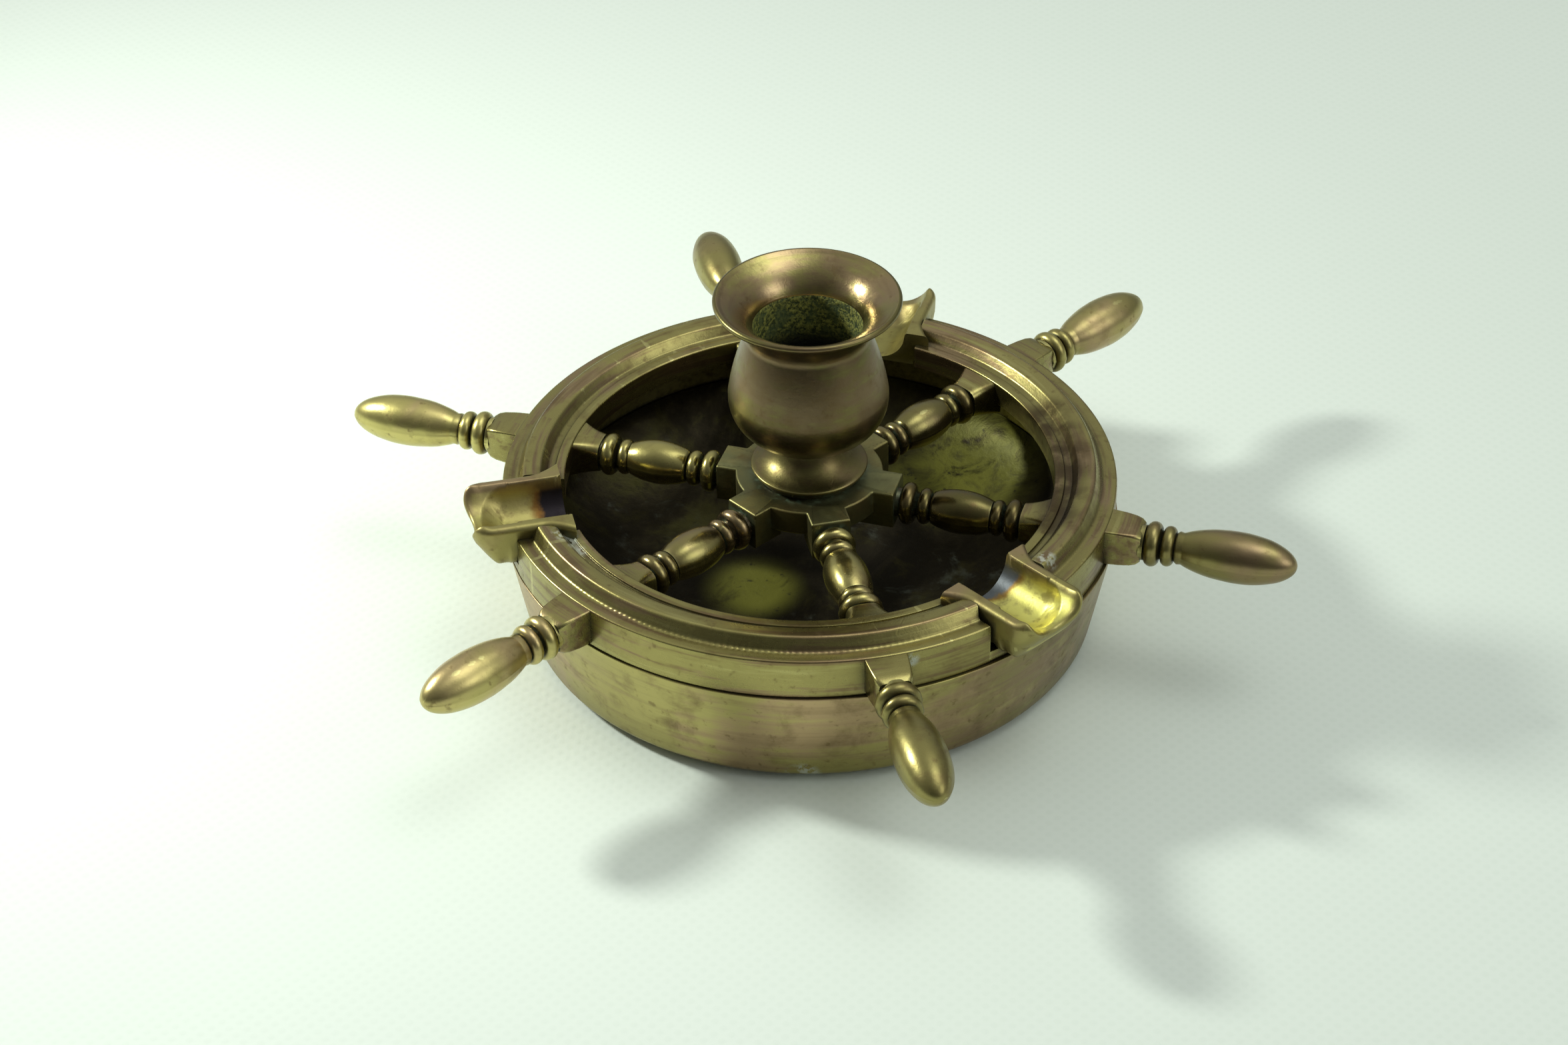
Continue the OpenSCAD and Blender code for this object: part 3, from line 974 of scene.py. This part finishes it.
# Painted shadow: darker brown on the rim's inner part from -4 to 36 degrees, where the cup's shadow falls.
rim_painted_shadow = darken_places(*[(spoke_point(48.2, 0, turn, 3), 5.5, 0.85) for turn in range(-4, 37, 8)])
rim_marks = solder_marks(
    (spoke_point(48.5, 11.0, 210, 4.5), 3.4),
    (spoke_point(47.2, 14.5, 210, 4.2), 2.6),
    (spoke_point(51.5, 9.5, -30, 5.5), 2.6),
    (spoke_point(58.2, 4.6, 300, 2.0), 2.2),
)
rest_channels = [
    smoked(-30, REST_SLIP, 0.75, burnt_to=47.6, skew=0.4, fringe=1.8, tone=(0.1, 0.115, 0.13)),
    smoked(90, 0, 0.15),
    smoked(210, 0, 0.25, burnt_to=49.9, skew=-0.16, fringe=2.2, tone=(0.012, 0.014, 0.022)),
]

bowl_brass = aged_brass("bowl_outside_brass", shade=1.15, rosy=0.6, dull=0.35, grime=0.4, green=0.15,
                        rough=(0.26, 0.44), lathe=0.25, tarnish_and_shade=0.4, extra=both(bowl_darker_right, bowl_marks))
rim_brass = aged_brass("rim_brass", shade=0.86, rosy=0.45, dull=0.3, green=0.2, rough=(0.2, 0.36),
                       seed=0.31, lathe=0.7, extra=both(rim_painted_shadow, rim_marks))
hub_brass = aged_brass("hub_brass", shade=0.8, rosy=0, dull=0.8, grime=1.0, green=0.9, wear=0.35,
                       rough=(0.34, 0.5), seed=0.52, extra=grey_green)
cup_brass = aged_brass("cup_brass", shade=0.46, rosy=0.45, dull=0.45, green=0.3, rough=(0.24, 0.4),
                       lathe=0.3, seed=0.09)
# Painted light: a lighter copy of the cup's brass for the flare's inside, with little sheltered darkening.
funnel_lit_brass = aged_brass("funnel_lit_brass", shade=0.86, rosy=0.8, dull=0.25, green=0.4, rough=(0.14, 0.27),
                          lathe=0.25, seed=0.29, tarnish_and_shade=0.1)
stem_brass = aged_brass("stem_brass", shade=0.7, rosy=0.35, dull=0.35, green=0.5, rough=(0.24, 0.4),
                        lathe=0.2, seed=0.44)
seat_brass = aged_brass("seat_brass", rosy=0.3, dull=0.6, grime=1.0, green=0.4, seed=0.6)
screw_brass = aged_brass("screw_brass", rosy=0.2, dull=0.6, grime=1.0, green=0.6, wear=0.8, seed=0.9)

bowl = place(make_bowl(), "bowl", "bowl_brass", "bowl")
paint(bowl, bowl_brass, ash_stained())
pick_materials(bowl, bowl_slot)
paint(place(make_rim(), "wheel", "wheel_brass", "wheel_rim"), rim_brass)
paint(place(make_hub(), "wheel", "wheel_brass", "hub_plate"), hub_brass)
for i in SPOKES:
    rosy, dull, shade = SPOKE_LOOKS[i - 1]
    brass = aged_brass(f"spoke_brass_{i}", rosy=rosy, dull=dull, shade=shade, green=0.5,
                       rough=(0.16, 0.32), seed=0.13 * i)
    spoke = turned_on_spoke(f"turned_spoke_{i}", i, spoke_profile())
    paint(place(spoke, "wheel", "wheel_brass", f"spoke_{i}"), brass)
    rosy, dull, shade = HANDLE_LOOKS[i - 1]
    brass = aged_brass(f"handle_brass_{i}", rosy=rosy, dull=dull, shade=shade, green=0.25,
                       rough=(0.24, 0.4), seed=0.77 + 0.2 * i)
    handle = turned_on_spoke(f"turned_handle_{i}", i, handle_profile())
    paint(place(handle, "wheel", "wheel_brass", f"handle_{i}"), brass)
for i in RESTS:
    brass = aged_brass(f"rest_brass_{i}", shade=0.9, rosy=0.35, dull=0.3, grime=0.5, rough=(0.34, 0.48),
                       seed=0.21 * i, tarnish_and_shade=0.45, extra=rest_channels[i - 1])
    paint(place(make_rest(i), "wheel", "rest_brass", f"rest_{i}"), brass)
cup = place(make_cup(), "wheel", "cup_brass", "cup")
paint(cup, cup_brass, crusted_bore(), funnel_lit_brass)
pick_materials(cup, cup_slot)
paint(place(make_foot(), "wheel", "cup_brass", "cup_foot"), stem_brass)
hidden_brass = {"seat_ring": seat_brass, "clamp_screw": screw_brass, "screw_washer": screw_brass}
for name, brass in hidden_brass.items():
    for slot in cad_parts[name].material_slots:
        slot.material = brass


# --------------------------------------------------------------------- stage

def make_floor():
    """A pale woven cloth."""
    bpy.ops.mesh.primitive_grid_add(size=4, x_subdivisions=2, y_subdivisions=2)
    floor = bpy.context.object
    floor.name = "table_top"
    g = Graph("table_cloth")
    weave = []
    for turn in (0, 90):
        inputs = {"Vector": g.place, "Rotation": (0, 0, math.radians(turn + 32))}
        line = g.node("ShaderNodeMapping", inputs).outputs["Vector"]
        waves = g.node("ShaderNodeTexWave", {"Vector": line, "Scale": 150, "Distortion": 0.6, "Detail": 1.0})
        weave.append(waves.outputs["Fac"])
    cloth = g.math("MULTIPLY", weave[0], weave[1])
    colour = g.mix(g.noise(9, 3, 0.5), (0.82, 0.89, 0.81), (0.85, 0.91, 0.84))
    colour = g.mix(g.fade(cloth, 0.1, 0.6, 0.35), colour, (0.79, 0.86, 0.78))
    g.bump(cloth, 0.00006, 0.5)
    floor.data.materials.append(g.finish(colour, 0.0, g.math("MULTIPLY_ADD", cloth, 0.1, 0.82)))


def make_camera():
    """The camera looks down from the front, a little from the right."""
    roll = math.radians(-1.003)
    distance = 0.6116
    aim = Vector((-1.35 * MM, -12.08 * MM, axis_z * MM))
    back = direction(17.456 - 90, 36.393)
    camera = bpy.data.objects.new("camera", bpy.data.cameras.new("camera"))
    camera.data.sensor_width = 36
    camera.data.lens = 75.97
    camera.data.clip_start = 0.01
    level = (-back).to_track_quat("-Z", "Y").to_matrix().to_4x4()
    camera.matrix_world = Matrix.Translation(aim + back * distance) @ level @ Matrix.Rotation(roll, 4, "Z")
    bpy.context.scene.collection.objects.link(camera)
    bpy.context.scene.camera = camera


def make_key_lamp():
    """A small round lamp at the left that faces the wheel."""
    lamp = bpy.data.lights.new("key", "AREA")
    lamp.shape = "DISK"
    lamp.size = 0.055
    lamp.energy = 0.72
    lamp.color = (0.95, 1, 0.92)
    lamp.spread = math.radians(130)
    distance = 0.42
    back = direction(182, 33.4)
    holder = bpy.data.objects.new("key", lamp)
    holder.location = back * distance + Vector((0, 0, axis_z * MM))
    holder.rotation_euler = (-back).to_track_quat("-Z", "Y").to_euler()
    bpy.context.scene.collection.objects.link(holder)


# Azimuth, elevation, narrowness and strength of each glow in the room, and what is everywhere
ROOM_GLOWS = [(24, 71, 26, 3.2), (24, 60, 2, 0.4), (165, 25, 2, 0.36), (107, 36, 5, 0.22), (-9, 29, 30, 2.5)]
ROOM_BASE = 0.06


def make_room():
    """A pale room: brightest overhead, dimmer behind, with a small glow at the right."""
    world = bpy.data.worlds.new("room")
    world.use_nodes = True
    tree = world.node_tree
    ray = tree.nodes.new("ShaderNodeTexCoord").outputs["Generated"]

    def step(kind, operation, *values):
        """A node that works on values, each a number, a direction or another node's output."""
        node = tree.nodes.new(kind)
        node.operation = operation
        for socket, value in zip(node.inputs, values):
            if isinstance(value, bpy.types.NodeSocket):
                tree.links.new(value, socket)
            else:
                socket.default_value = value
        return node

    total = ROOM_BASE
    for azimuth, elevation, narrow, strength in ROOM_GLOWS:
        facing = step("ShaderNodeVectorMath", "DOT_PRODUCT", ray, direction(azimuth, elevation))
        ahead = step("ShaderNodeMath", "MAXIMUM", facing.outputs["Value"], 0)
        power = step("ShaderNodeMath", "POWER", ahead.outputs[0], narrow)
        total = step("ShaderNodeMath", "MULTIPLY_ADD", power.outputs[0], strength, total).outputs[0]
    back = tree.nodes["Background"]
    back.inputs["Color"].default_value = (0.95, 1, 0.96, 1)
    tree.links.new(total, back.inputs["Strength"])
    bpy.context.scene.world = world


make_floor()
make_camera()
make_key_lamp()
make_room()
bpy.context.scene.view_settings.view_transform = "Standard"
